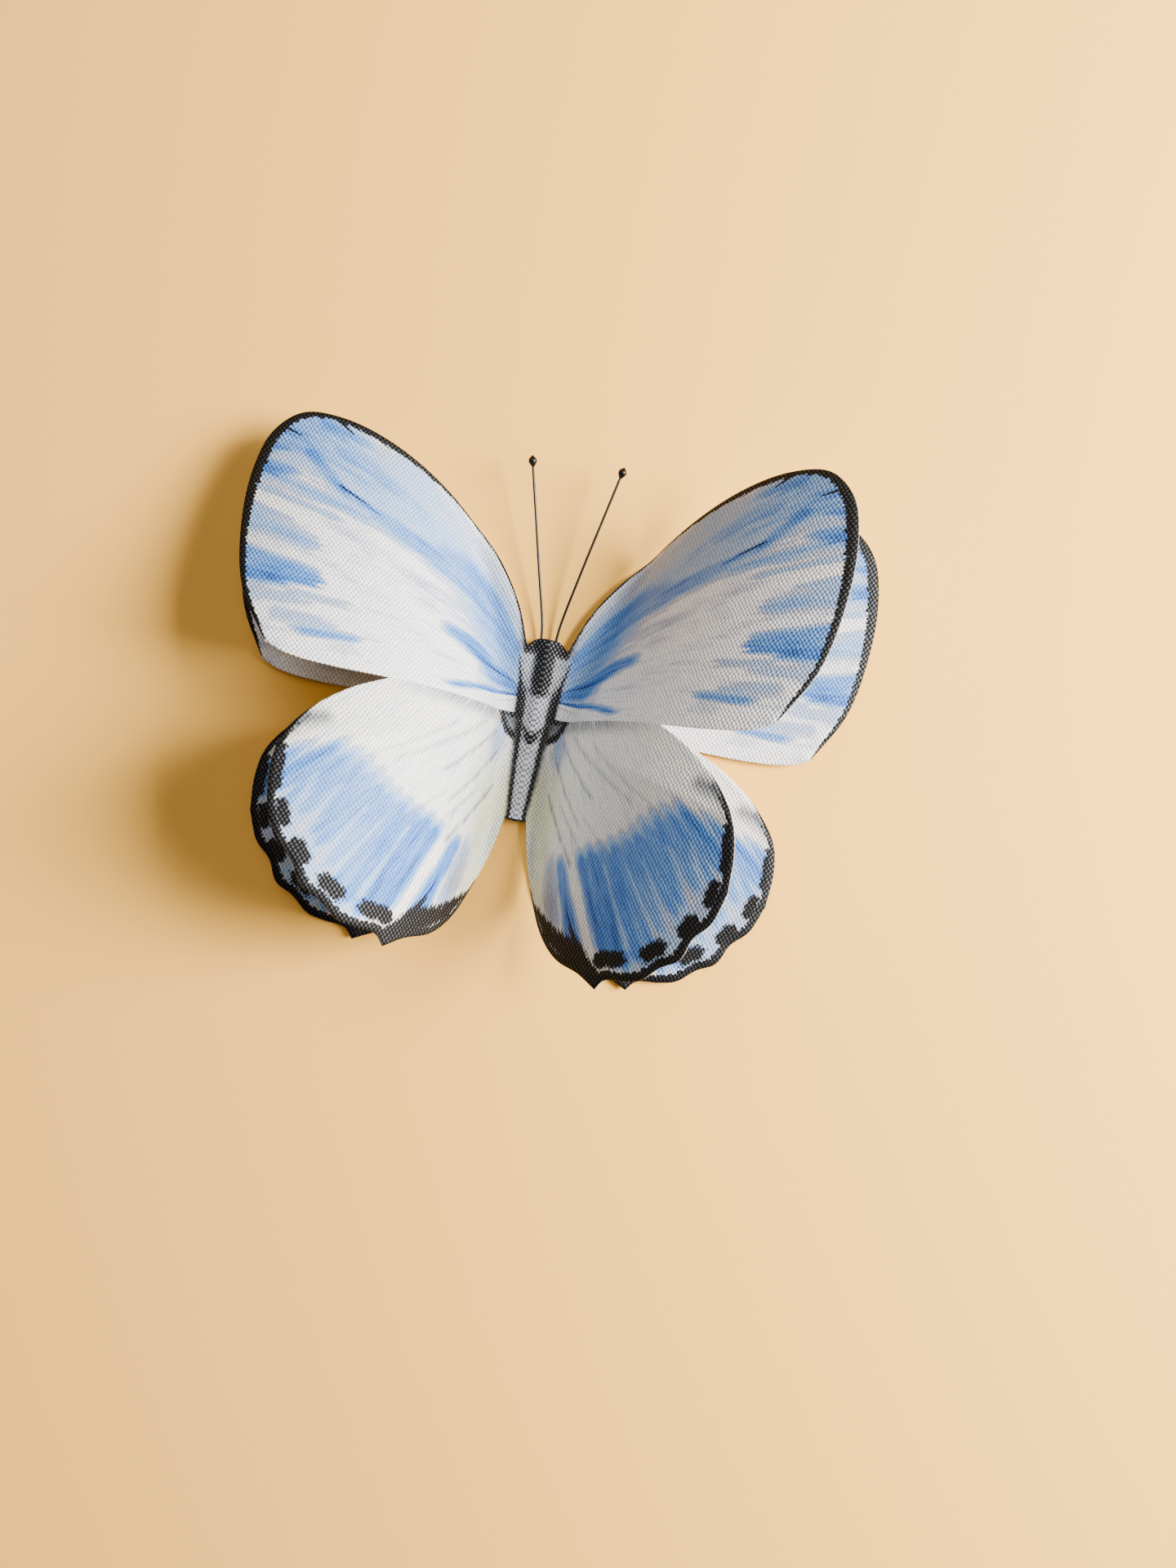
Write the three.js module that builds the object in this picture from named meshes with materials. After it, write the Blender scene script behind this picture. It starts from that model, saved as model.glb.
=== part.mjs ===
// Fabric butterfly ornament: two sheets cut to one pattern, and two wire antennae.
// Millimetres, +Z up. The origin is under the middle of the body, and the head points along +Y.
import * as THREE from 'three';

// Fabric
const FABRIC_THICKNESS = 0.45;
const SHEET_GAP = 0.62; // between the two sheets at the sides of the body
const BODY_HALF_WIDTH = 2.2; // from the body's middle to the fold of a wing
const BODY_RIDGE = 0.9; // how far the upper sheet's body arches over the antenna wires

// Folds: a wing turns up to its root angle within the fold, then curls towards its tip angle.
const FOLD_LENGTH = 4.6;
const CURL_LENGTH = 51.2; // the tip angle is reached at this distance from the fold
const TWIST_LENGTH = 38.4; // the twist is the change of angle over this length along the fold
const LOWER_FLAT_HALF_WIDTH = 7; // the strip that the ornament rests on
const UPPER_LEFT = { flat: BODY_HALF_WIDTH, root: 66, tip: -5, twist: -24, skew: 18 };
const UPPER_RIGHT = { flat: BODY_HALF_WIDTH, root: 66, tip: 12, twist: -2, skew: 16 };
const LOWER_BOTH = { flat: LOWER_FLAT_HALF_WIDTH, root: 1.5, tip: 4, twist: -1.5, skew: 0 };

// Antennae
const WIRE_RADIUS = 0.19;
const DROP_RADIUS = 0.65;
const DROP_LENGTH = 2.1;
const DROP_SHAPE = 1.3; // above 1, the drop is fullest past its middle
const WIRE_HEIGHT = 0.95; // middle of the wire where it lies between the sheets
const TIP_HEIGHT = 6;

// Facets
const UPPER_WING_STEPS = 6;
const LOWER_WING_STEPS = 4;
const STEP_CROWDING = 1.4; // the steps along a rib are closer together near the fold
const BEND_SAMPLES = 24;
const NORMAL_STEP = 0.02; // the surface's slope is taken over this distance
const SAME_POINT = 1e-4;
const WIRE_SIDES = 8;
const WIRE_STEPS = 12;
const DROP_STEPS = 6;

const PRINTED_WHITE = 0xdfe3ea;
const PRINTED_BLUE = 0x8fb2e3;
const WIRE_BLACK = 0x0c0c0d;

// Half of the cutting pattern, from the head round to the tail. Each edge is a smooth curve through its
// points, and the edges meet at corners. While the edge is followed, the rib's foot moves down the body
// to the edge's own foot.
const PATTERN_EDGES = [
  { name: 'head', perSpan: 2, foot: [BODY_HALF_WIDTH, 9.8], points: [[0, 14.3], [1.8, 14.1], [3.2, 12.9]] },
  {
    name: 'forewing front, apex and outer margin',
    perSpan: 2,
    foot: [BODY_HALF_WIDTH, 4],
    points: [
      [3.2, 12.9], [5.9, 19.5], [10.8, 26.4], [18.3, 32.3], [29, 38], [37.5, 40.4],
      [43.4, 40.1], [47.4, 36.4], [49.2, 30.5], [49.5, 22], [47.7, 11.3], [43.3, 3.2],
    ],
  },
  {
    name: 'forewing back',
    perSpan: 2,
    foot: [BODY_HALF_WIDTH, 2.3],
    points: [[43.3, 3.2], [40.2, 2], [34, 1.4], [26, 1.5]],
  },
  {
    name: 'hindwing front',
    perSpan: 2,
    foot: [BODY_HALF_WIDTH, -1],
    points: [[26, 1.5], [31.6, -1.5], [36.8, -5.8], [40.2, -10.6], [41, -15], [40.7, -20.2]],
  },
  {
    name: 'hindwing scalloped margin',
    perSpan: 1,
    foot: [BODY_HALF_WIDTH, -7],
    points: [
      [40.7, -20.2], [38.9, -24.6], [36.4, -27.2], [34.8, -30.4], [32, -32],
      [29.2, -34.3], [26.5, -35], [23.2, -35.5], [21.7, -37.1],
    ],
  },
  {
    name: 'hindwing inner edge',
    perSpan: 1,
    foot: [1.5, -12.5],
    points: [
      [21.7, -37.1], [18.3, -35.5], [13.4, -34.2], [9.4, -31.4],
      [5.6, -26.6], [3.3, -21.2], [2, -15.6], [1.7, -14.1],
    ],
  },
  { name: 'tail', perSpan: 1, foot: [0, -14.3], points: [[1.7, -14.1], [0.9, -14.3], [0, -14.3]] },
];

// Each rib runs from the middle of the body to its foot at the side of the body, and on to the cut edge.
function patternRibs() {
  const ribs = [];
  let from = PATTERN_EDGES[0].points[0];
  for (const { points, perSpan, foot } of PATTERN_EDGES) {
    const curve = new THREE.CatmullRomCurve3(points.map(([x, y]) => new THREE.Vector3(x, y, 0)));
    const steps = perSpan * (points.length - 1);
    const first = ribs.length === 0 ? 0 : 1;
    for (let step = first; step <= steps; step += 1) {
      const share = step / steps;
      const edge = curve.getPoint(share);
      ribs.push({
        foot: [THREE.MathUtils.lerp(from[0], foot[0], share), THREE.MathUtils.lerp(from[1], foot[1], share)],
        edge: [edge.x, edge.y],
      });
    }
    from = foot;
  }
  return ribs;
}

// Takes a point of the flat pattern, right side, to the folded sheet.
function bend(lateral, forward, fold) {
  const beyond = lateral - fold.flat;
  const skew = THREE.MathUtils.degToRad(fold.skew);
  const c = Math.cos(skew);
  const s = Math.sin(skew);
  const across = beyond * c - forward * s;
  const along = beyond * s + forward * c;
  if (beyond <= 0 || across <= 0) {
    return [lateral, forward, 0];
  }
  let run = 0;
  let lift = 0;
  for (let k = 0; k < BEND_SAMPLES; k += 1) {
    const distance = ((k + 0.5) / BEND_SAMPLES) * across;
    const clear = Math.min(distance, distance * c + along * s);
    const turned = THREE.MathUtils.smoothstep(clear, 0, FOLD_LENGTH);
    const curl = fold.root + ((fold.tip - fold.root) * distance) / CURL_LENGTH;
    const angle = THREE.MathUtils.degToRad((curl + (fold.twist * along) / TWIST_LENGTH) * turned);
    run += Math.cos(angle);
    lift += Math.sin(angle);
  }
  const out = (run / BEND_SAMPLES) * across;
  return [out * c + along * s + fold.flat, along * c - out * s, (lift / BEND_SAMPLES) * across];
}

// A sheet's middle surface: side is 1 on the right and -1 on the left.
function surfacePoint(sheet, side, lateral, forward) {
  const reach = Math.abs(lateral);
  const [x, y, z] = bend(reach, forward, side > 0 ? sheet.right : sheet.left);
  const arch = reach < BODY_HALF_WIDTH ? Math.cos((Math.PI / 2) * (reach / BODY_HALF_WIDTH)) ** 2 : 0;
  return new THREE.Vector3(side * Math.sign(lateral) * x, y, sheet.height + z + sheet.ridge * arch);
}

function surfaceNormal(sheet, side, lateral, forward) {
  const at = (dx, dy) => surfacePoint(sheet, side, lateral + dx, forward + dy);
  const alongX = at(NORMAL_STEP, 0).sub(at(-NORMAL_STEP, 0));
  const alongY = at(0, NORMAL_STEP).sub(at(0, -NORMAL_STEP));
  return alongX.cross(alongY).multiplyScalar(side).normalize();
}

// One closed sheet: the ribs of both halves, with a printed face, a back face and a cut rim.
function sheetGeometry(sheet) {
  const ribs = patternRibs();
  const columns = sheet.wingSteps + 1;
  const positions = [];
  const triangle = (a, b, c) => {
    const shortest = Math.min(a.distanceTo(b), b.distanceTo(c), c.distanceTo(a));
    if (shortest > SAME_POINT) {
      positions.push(...a.toArray(), ...b.toArray(), ...c.toArray());
    }
  };
  for (const side of [1, -1]) {
    const faces = ribs.map(({ foot, edge }) => {
      const rib = [];
      for (let column = 0; column <= columns; column += 1) {
        const share = (Math.max(0, column - 1) / sheet.wingSteps) ** STEP_CROWDING;
        const lateral = column === 0 ? 0 : THREE.MathUtils.lerp(foot[0], edge[0], share);
        const forward = column === 0 ? foot[1] : THREE.MathUtils.lerp(foot[1], edge[1], share);
        const point = surfacePoint(sheet, side, lateral, forward);
        const offset = surfaceNormal(sheet, side, lateral, forward).multiplyScalar(FABRIC_THICKNESS / 2);
        rib.push({ top: point.clone().add(offset), back: point.clone().sub(offset) });
      }
      return rib;
    });
    const quad = (a, b, c, d) => {
      if (side > 0) {
        triangle(a, b, c);
        triangle(a, c, d);
      } else {
        triangle(c, b, a);
        triangle(d, c, a);
      }
    };
    for (let i = 0; i + 1 < faces.length; i += 1) {
      const here = faces[i];
      const next = faces[i + 1];
      for (let column = 0; column < columns; column += 1) {
        quad(here[column].top, next[column].top, next[column + 1].top, here[column + 1].top);
        quad(here[column + 1].back, next[column + 1].back, next[column].back, here[column].back);
      }
      quad(here[columns].top, next[columns].top, next[columns].back, here[columns].back);
    }
  }
  const geometry = new THREE.BufferGeometry();
  geometry.setAttribute('position', new THREE.Float32BufferAttribute(positions, 3));
  geometry.computeVertexNormals();
  return geometry;
}

// A wire along a curve, ending in a drop of lacquer. Rings of the wire's section are joined end to end.
function antennaGeometry(points) {
  const curve = new THREE.CatmullRomCurve3(points.map((point) => new THREE.Vector3(...point)));
  const dropStart = 1 - DROP_LENGTH / curve.getLength();
  const rings = [];
  for (let step = 0; step <= WIRE_STEPS; step += 1) {
    rings.push({ at: (dropStart * step) / WIRE_STEPS, radius: WIRE_RADIUS });
  }
  for (let step = 1; step < DROP_STEPS; step += 1) {
    const share = step / DROP_STEPS;
    const swell = Math.sin(Math.PI * share ** DROP_SHAPE);
    rings.push({
      at: dropStart + (1 - dropStart) * share,
      radius: Math.max(DROP_RADIUS * swell, WIRE_RADIUS * (1 - share)),
    });
  }
  const up = new THREE.Vector3(0, 0, 1);
  const loops = rings.map(({ at, radius }) => {
    const ahead = curve.getTangentAt(at);
    const aside = new THREE.Vector3().crossVectors(ahead, up).normalize();
    const above = new THREE.Vector3().crossVectors(aside, ahead);
    return Array.from({ length: WIRE_SIDES }, (_, k) => {
      const turn = (2 * Math.PI * k) / WIRE_SIDES;
      return curve.getPointAt(at)
        .addScaledVector(aside, radius * Math.cos(turn))
        .addScaledVector(above, radius * Math.sin(turn));
    });
  });
  const positions = [];
  const triangle = (a, b, c) => positions.push(...a.toArray(), ...b.toArray(), ...c.toArray());
  const start = curve.getPointAt(0);
  const end = curve.getPointAt(1);
  const last = loops[loops.length - 1];
  for (let k = 0; k < WIRE_SIDES; k += 1) {
    const m = (k + 1) % WIRE_SIDES;
    triangle(start, loops[0][k], loops[0][m]);
    triangle(end, last[m], last[k]);
    for (let i = 0; i + 1 < loops.length; i += 1) {
      triangle(loops[i][k], loops[i + 1][k], loops[i + 1][m]);
      triangle(loops[i][k], loops[i + 1][m], loops[i][m]);
    }
  }
  const geometry = new THREE.BufferGeometry();
  geometry.setAttribute('position', new THREE.Float32BufferAttribute(positions, 3));
  geometry.computeVertexNormals();
  return geometry;
}

function addPiece(group, name, geometry, color, roughness, metalness) {
  const mesh = new THREE.Mesh(geometry, new THREE.MeshStandardMaterial({ color, roughness, metalness }));
  mesh.name = name;
  group.add(mesh);
}

const lowerSheet = {
  left: LOWER_BOTH,
  right: LOWER_BOTH,
  height: FABRIC_THICKNESS / 2,
  ridge: 0,
  wingSteps: LOWER_WING_STEPS,
};
const upperSheet = {
  left: UPPER_LEFT,
  right: UPPER_RIGHT,
  height: 1.5 * FABRIC_THICKNESS + SHEET_GAP,
  ridge: BODY_RIDGE,
  wingSteps: UPPER_WING_STEPS,
};

const butterfly = new THREE.Group();
addPiece(butterfly, 'lower_wings', sheetGeometry(lowerSheet), PRINTED_WHITE, 0.85, 0);
addPiece(butterfly, 'upper_wings', sheetGeometry(upperSheet), PRINTED_BLUE, 0.85, 0);
const leftWire = [
  [-0.7, 10.5, WIRE_HEIGHT], [-1.1, 13.2, WIRE_HEIGHT], [-1.5, 16.5, 1.4],
  [-3.3, 24, 2.9], [-7.4, 40.9, TIP_HEIGHT],
];
const rightWire = [
  [0.7, 10.5, WIRE_HEIGHT], [1, 13.2, WIRE_HEIGHT], [1.3, 16.5, 1.4],
  [2.8, 24, 2.9], [6.7, 41.6, TIP_HEIGHT],
];
addPiece(butterfly, 'antenna_left', antennaGeometry(leftWire), WIRE_BLACK, 0.3, 0);
addPiece(butterfly, 'antenna_right', antennaGeometry(rightWire), WIRE_BLACK, 0.3, 0);

export default butterfly;
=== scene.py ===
import math

import bpy
import numpy as np
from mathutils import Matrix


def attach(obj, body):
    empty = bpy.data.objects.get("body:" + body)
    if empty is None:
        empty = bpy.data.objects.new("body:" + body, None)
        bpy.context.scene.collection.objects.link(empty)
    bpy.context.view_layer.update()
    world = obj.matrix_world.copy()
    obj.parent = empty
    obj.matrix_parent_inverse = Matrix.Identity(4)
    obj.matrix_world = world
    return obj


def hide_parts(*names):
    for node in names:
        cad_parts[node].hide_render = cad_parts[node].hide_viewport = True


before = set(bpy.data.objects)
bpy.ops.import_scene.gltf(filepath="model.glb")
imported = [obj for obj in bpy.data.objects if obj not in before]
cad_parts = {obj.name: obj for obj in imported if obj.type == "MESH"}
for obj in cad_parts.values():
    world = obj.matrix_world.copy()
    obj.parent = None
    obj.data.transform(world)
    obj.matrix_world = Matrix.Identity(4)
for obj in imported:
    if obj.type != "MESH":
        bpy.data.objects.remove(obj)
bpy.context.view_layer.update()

# Lower sheet
# A butterfly cut in one piece from plain-woven cloth, with four wings and the body printed on one side.
# It lies nearly flat, and the ornament rests on the strip under its body.

MM = 0.001
CLOTH_THICKNESS = 0.45
BODY_HALF_WIDTH = 2.2

# Half of the cutting pattern, in millimetres out from and along the middle of the body. Its edges are
# smooth curves that meet at corners. While an edge is followed, a rib's foot moves down the side of the
# body to the edge's own foot.
PATTERN_EDGES = [
    # Head
    (14, (BODY_HALF_WIDTH, 9.8), [(0, 14.3), (1.8, 14.1), (3.2, 12.9)]),
    # Forewing: front edge, apex and outer margin
    (176, (BODY_HALF_WIDTH, 4), [
        (3.2, 12.9), (5.9, 19.5), (10.8, 26.4), (18.3, 32.3), (29, 38), (37.5, 40.4),
        (43.4, 40.1), (47.4, 36.4), (49.2, 30.5), (49.5, 22), (47.7, 11.3), (43.3, 3.2),
    ]),
    # Forewing: back edge
    (30, (BODY_HALF_WIDTH, 2.3), [(43.3, 3.2), (40.2, 2), (34, 1.4), (26, 1.5)]),
    # Hindwing: front edge
    (55, (BODY_HALF_WIDTH, -1), [
        (26, 1.5), (31.6, -1.5), (36.8, -5.8), (40.2, -10.6), (41, -15), (40.7, -20.2),
    ]),
    # Hindwing: scalloped margin
    (80, (BODY_HALF_WIDTH, -7), [
        (40.7, -20.2), (38.9, -24.6), (36.4, -27.2), (34.8, -30.4), (32, -32),
        (29.2, -34.3), (26.5, -35), (23.2, -35.5), (21.7, -37.1),
    ]),
    # Hindwing: inner edge
    (63, (1.5, -12.5), [
        (21.7, -37.1), (18.3, -35.5), (13.4, -34.2), (9.4, -31.4),
        (5.6, -26.6), (3.3, -21.2), (2, -15.6), (1.7, -14.1),
    ]),
    # Tail
    (8, (0, -14.3), [(1.7, -14.1), (0.9, -14.3), (0, -14.3)]),
]
FIRST_FOOT = (0, 14.3)
HINDWING_STARTS = 3  # the place of the hindwing's front edge in the list

# The black printed border's width round the cut edge: the edge's place in the list, plus the share of
# that edge that has been passed, and the width there.
BORDER = [
    (0, 0), (1, 0.3), (1.18, 0.26), (1.27, 0.34), (1.31, 0.7), (1.36, 0.95), (1.41, 1.05), (1.46, 0.85),
    (1.55, 1.15), (1.64, 1.6), (1.73, 1.8), (1.82, 1.3), (1.91, 0.85), (1.96, 0.62), (2, 0.05), (3, 0),
    (3.3, 0), (3.45, 0.25), (3.6, 0.9), (4, 1.2), (4.8, 1.25), (4.9, 1.5), (5, 2.2), (5.1, 1.6),
    (5.4, 0.8), (5.58, 0.3), (5.66, 0), (6, 0), (6.1, 0.3), (7, 0.35),
]


def smooth_curve(points, steps):
    """Points at equal shares along a smooth curve through the given ones."""
    given = np.array(points, float)
    ends = (2 * given[0] - given[1], 2 * given[-1] - given[-2])
    held = np.vstack([ends[0], given, ends[1]])
    gaps = np.linalg.norm(np.diff(held, axis=0), axis=1) ** 0.5
    made = []
    for step in range(steps + 1):
        place = step / steps * (len(given) - 1)
        span = min(int(place), len(given) - 2)
        s = place - span
        before, start, end, after = held[span:span + 4]
        g0, g1, g2 = gaps[span:span + 3]
        leave = ((start - before) / g0 - (end - before) / (g0 + g1) + (end - start) / g1) * g1
        arrive = ((end - start) / g1 - (after - start) / (g1 + g2) + (after - end) / g2) * g1
        made.append(
            (2 * s**3 - 3 * s**2 + 1) * start + (s**3 - 2 * s**2 + s) * leave
            + (3 * s**2 - 2 * s**3) * end + (s**3 - s**2) * arrive
        )
    return np.array(made)


# Ribs of the half pattern: a foot at the side of the body, a point on the cut edge, and the edge's number.
feet = []
edges = []
rim_places = []
last_foot = np.array(FIRST_FOOT, float)
for number, (steps, foot, points) in enumerate(PATTERN_EDGES):
    first = 0 if number == 0 else 1
    shares = np.arange(first, steps + 1) / steps
    feet.append(last_foot + (np.array(foot, float) - last_foot) * shares[:, None])
    edges.append(smooth_curve(points, steps)[first:])
    rim_places.append(number + shares)
    last_foot = np.array(foot, float)
feet = np.vstack(feet)
edges = np.vstack(edges)
rim_places = np.concatenate(rim_places)


def nearest_edge(lateral, forward):
    """The distance from points of the flat pattern to the cut edge, and the border's width there."""
    start = edges[:-1]
    run = np.diff(edges, axis=0)
    stops = np.array(BORDER)
    points = np.column_stack([lateral, forward])
    distances = []
    widths = []
    for some in np.array_split(points, len(points) // 500 + 1):
        away = some[:, None] - start
        share = np.clip((away * run).sum(2) / (run**2).sum(1), 0, 1)
        beside = np.linalg.norm(away - run * share[:, :, None], axis=2)
        nearest = beside.argmin(1)
        passed = share[np.arange(len(some)), nearest]
        place = rim_places[nearest] + passed * (rim_places[nearest + 1] - rim_places[nearest])
        distances.append(beside.min(1))
        widths.append(np.interp(place, stops[:, 0], stops[:, 1]))
    return np.concatenate(distances), np.concatenate(widths)


# Folds: a wing turns up to its root angle within the fold, then curls towards its tip angle.
FOLD_LENGTH = 4.6
CURL_LENGTH = 51.2
TWIST_LENGTH = 38.4
BEND_SAMPLES = 24
NORMAL_STEP = 0.02


def bend(lateral, forward, fold):
    """Takes points of the flat pattern, on the right side, to the folded sheet."""
    skew = math.radians(fold["skew"])
    c = math.cos(skew)
    s = math.sin(skew)
    beyond = lateral - fold["flat"]
    across = beyond * c - forward * s
    along = beyond * s + forward * c
    distance = (np.arange(BEND_SAMPLES)[:, None] + 0.5) / BEND_SAMPLES * across
    clear = np.clip(np.minimum(distance, distance * c + along * s) / FOLD_LENGTH, 0, 1)
    turned = clear * clear * (3 - 2 * clear)
    curl = fold["root"] + (fold["tip"] - fold["root"]) * distance / CURL_LENGTH
    angle = np.radians((curl + fold["twist"] * along / TWIST_LENGTH) * turned)
    out = np.cos(angle).mean(0) * across
    lift = np.sin(angle).mean(0) * across
    bent = np.stack([out * c + along * s + fold["flat"], along * c - out * s, lift], 1)
    flat = np.stack([lateral, forward, np.zeros_like(lateral)], 1)
    return np.where(((beyond <= 0) | (across <= 0))[:, None], flat, bent)


def middle_surface(sheet, side, lateral, forward):
    """Points of a sheet's middle: side is 1 on the right and -1 on the left."""
    reach = np.abs(lateral)
    points = bend(reach, forward, sheet["right"] if side > 0 else sheet["left"])
    arch = np.cos(math.pi / 2 * np.minimum(reach / BODY_HALF_WIDTH, 1)) ** 2
    points[:, 0] *= side * np.sign(lateral)
    points[:, 2] += sheet["height"] + sheet["ridge"] * arch
    return points


def face_normals(sheet, side, lateral, forward):
    """Unit normals on the printed side of a sheet's middle."""
    right = middle_surface(sheet, side, lateral + NORMAL_STEP, forward)
    left = middle_surface(sheet, side, lateral - NORMAL_STEP, forward)
    ahead = middle_surface(sheet, side, lateral, forward + NORMAL_STEP)
    behind = middle_surface(sheet, side, lateral, forward - NORMAL_STEP)
    normals = side * np.cross(right - left, ahead - behind)
    return normals / np.linalg.norm(normals, axis=1)[:, None]


# The strip across a rib runs out over the printed face, round the cut edge and back under the sheet.
BODY_STEPS = 4
STEP_CROWDING = 1.25
EDGE_ROUNDING = 0.1
FOREWING_PRINT, HINDWING_PRINT, BARE_CLOTH = range(3)


def cut_sheet(name, sheet, materials):
    """A closed sheet of cloth with its pattern places, in millimetres, kept on every vertex."""
    wing = (np.arange(1, sheet["steps"] + 1) / sheet["steps"]) ** (1 / STEP_CROWDING)
    body = np.arange(BODY_STEPS + 1) / BODY_STEPS
    out_count = len(body) + len(wing)
    points = []
    places = []
    faces = []
    looks = []
    for side in (1, -1):
        start = sum(len(p) for p in points)
        lateral = np.hstack([
            feet[:, :1] * body,
            feet[:, :1] + (edges[:, :1] - feet[:, :1]) * wing,
        ])
        forward = np.hstack([
            np.repeat(feet[:, 1:], len(body), axis=1),
            feet[:, 1:] + (edges[:, 1:] - feet[:, 1:]) * wing,
        ])
        outward = np.stack([lateral[:, -1] - lateral[:, -2], forward[:, -1] - forward[:, -2]], 1)
        outward /= np.maximum(np.linalg.norm(outward, axis=1), 1e-9)[:, None]
        inset_lateral = np.maximum(edges[:, 0] - EDGE_ROUNDING * outward[:, 0], 0)
        inset_forward = edges[:, 1] - EDGE_ROUNDING * outward[:, 1]
        lateral[:, -1] = inset_lateral
        forward[:, -1] = inset_forward
        strip_lateral = np.hstack([lateral, edges[:, :1], edges[:, :1], lateral[:, ::-1]])
        strip_forward = np.hstack([forward, edges[:, 1:], edges[:, 1:], forward[:, ::-1]])
        level = np.concatenate([np.ones(out_count), [0.5, -0.5], -np.ones(out_count)])
        flat_lateral = strip_lateral.ravel()
        flat_forward = strip_forward.ravel()
        middle = middle_surface(sheet, side, flat_lateral, flat_forward)
        normal = face_normals(sheet, side, flat_lateral, flat_forward)
        height = np.tile(level, len(feet)) * CLOTH_THICKNESS / 2
        points.append(middle + normal * height[:, None])
        places.append(np.stack([flat_lateral, flat_forward], 1))
        width = len(level)
        for rib in range(len(feet) - 1):
            wing_print = FOREWING_PRINT if rim_places[rib + 1] <= HINDWING_STARTS else HINDWING_PRINT
            for column in range(width - 1):
                here = start + rib * width + column
                corners = [here, here + width, here + width + 1, here + 1]
                faces.append(corners if side > 0 else corners[::-1])
                looks.append(wing_print if column < out_count else BARE_CLOTH)
    points = np.vstack(points)
    places = np.vstack(places)
    # Points that meet on the middle line, at the head and at the tail become one.
    rounded = np.round(points, 4) + 0.0
    _, kept, merged = np.unique(rounded, axis=0, return_index=True, return_inverse=True)
    merged = merged.ravel()
    outlines = []
    kept_looks = []
    for corners, look in zip(faces, looks):
        outline = list(dict.fromkeys(int(merged[corner]) for corner in corners))
        if len(outline) > 2:
            outlines.append(outline)
            kept_looks.append(look)
    points = points[kept]
    places = places[kept]
    distance, border = nearest_edge(places[:, 0], places[:, 1])
    mesh = bpy.data.meshes.new(name)
    mesh.from_pydata((points * MM).tolist(), [], outlines)
    pattern = mesh.attributes.new("pattern", "FLOAT_VECTOR", "POINT")
    pattern.data.foreach_set("vector", np.column_stack([places, distance]).ravel().astype(np.float32))
    border_width = mesh.attributes.new("border", "FLOAT", "POINT")
    border_width.data.foreach_set("value", border.astype(np.float32))
    for material in materials:
        mesh.materials.append(material)
    mesh.polygons.foreach_set("material_index", kept_looks)
    mesh.polygons.foreach_set("use_smooth", [True] * len(kept_looks))
    mesh.update()
    piece = bpy.data.objects.new(name, mesh)
    bpy.context.scene.collection.objects.link(piece)
    return piece


class Shade:
    """One socket of the material being made. Arithmetic on it adds Math nodes."""

    tree = None

    def __init__(self, socket):
        self.socket = socket

    @staticmethod
    def node(kind, settings, sockets, output=0):
        made = Shade.tree.nodes.new(kind)
        for name, value in settings.items():
            if name == "stops":
                elements = made.color_ramp.elements
                while len(elements) < len(value):
                    elements.new(1.0)
                for element, (position, colour) in zip(elements, value):
                    element.position = position
                    element.color = colour
            else:
                setattr(made, name, value)
        for name, value in sockets.items():
            if isinstance(value, Shade):
                Shade.tree.links.new(value.socket, made.inputs[name])
            else:
                made.inputs[name].default_value = value
        return Shade(made.outputs[output])

    @staticmethod
    def maths(operation, *terms, clamp=False):
        settings = {"operation": operation, "use_clamp": clamp}
        return Shade.node("ShaderNodeMath", settings, dict(enumerate(terms)))

    @staticmethod
    def vector(operation, *terms, output=0):
        return Shade.node("ShaderNodeVectorMath", {"operation": operation}, dict(enumerate(terms)), output)

    def __add__(self, other):
        return Shade.maths("ADD", self, other)

    def __radd__(self, other):
        return Shade.maths("ADD", other, self)

    def __sub__(self, other):
        return Shade.maths("SUBTRACT", self, other)

    def __rsub__(self, other):
        return Shade.maths("SUBTRACT", other, self)

    def __mul__(self, other):
        return Shade.maths("MULTIPLY", self, other)

    def __rmul__(self, other):
        return Shade.maths("MULTIPLY", other, self)

    def __truediv__(self, other):
        return Shade.maths("DIVIDE", self, other)

    def __rtruediv__(self, other):
        return Shade.maths("DIVIDE", other, self)

    def __abs__(self):
        return Shade.maths("ABSOLUTE", self)


def ink(red, green, blue):
    """A colour given as it looks on a screen, from 0 to 255."""
    shares = [value / 255 for value in (red, green, blue)]
    return tuple(s / 12.92 if s < 0.04045 else ((s + 0.055) / 1.055) ** 2.4 for s in shares) + (1,)


def rise(value, low, high, top=1.0):
    """Goes smoothly from 0 at low to top at high."""
    sockets = {"Value": value, "From Min": low, "From Max": high, "To Max": top}
    return Shade.node("ShaderNodeMapRange", {"interpolation_type": "SMOOTHSTEP"}, sockets)


def blend(under, over, share):
    """One colour over another."""
    return Shade.node("ShaderNodeMix", {"data_type": "RGBA"}, {0: share, 6: under, 7: over}, 2)


def grain(across, along, detail=3.0):
    """Cloudy noise from 0 to 1, about half on average."""
    place = Shade.node("ShaderNodeCombineXYZ", {}, {"X": across, "Y": along})
    sockets = {"Vector": place, "Scale": 1.0, "Detail": detail, "Roughness": 0.6}
    return Shade.node("ShaderNodeTexNoise", {"noise_dimensions": "2D"}, sockets)


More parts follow.
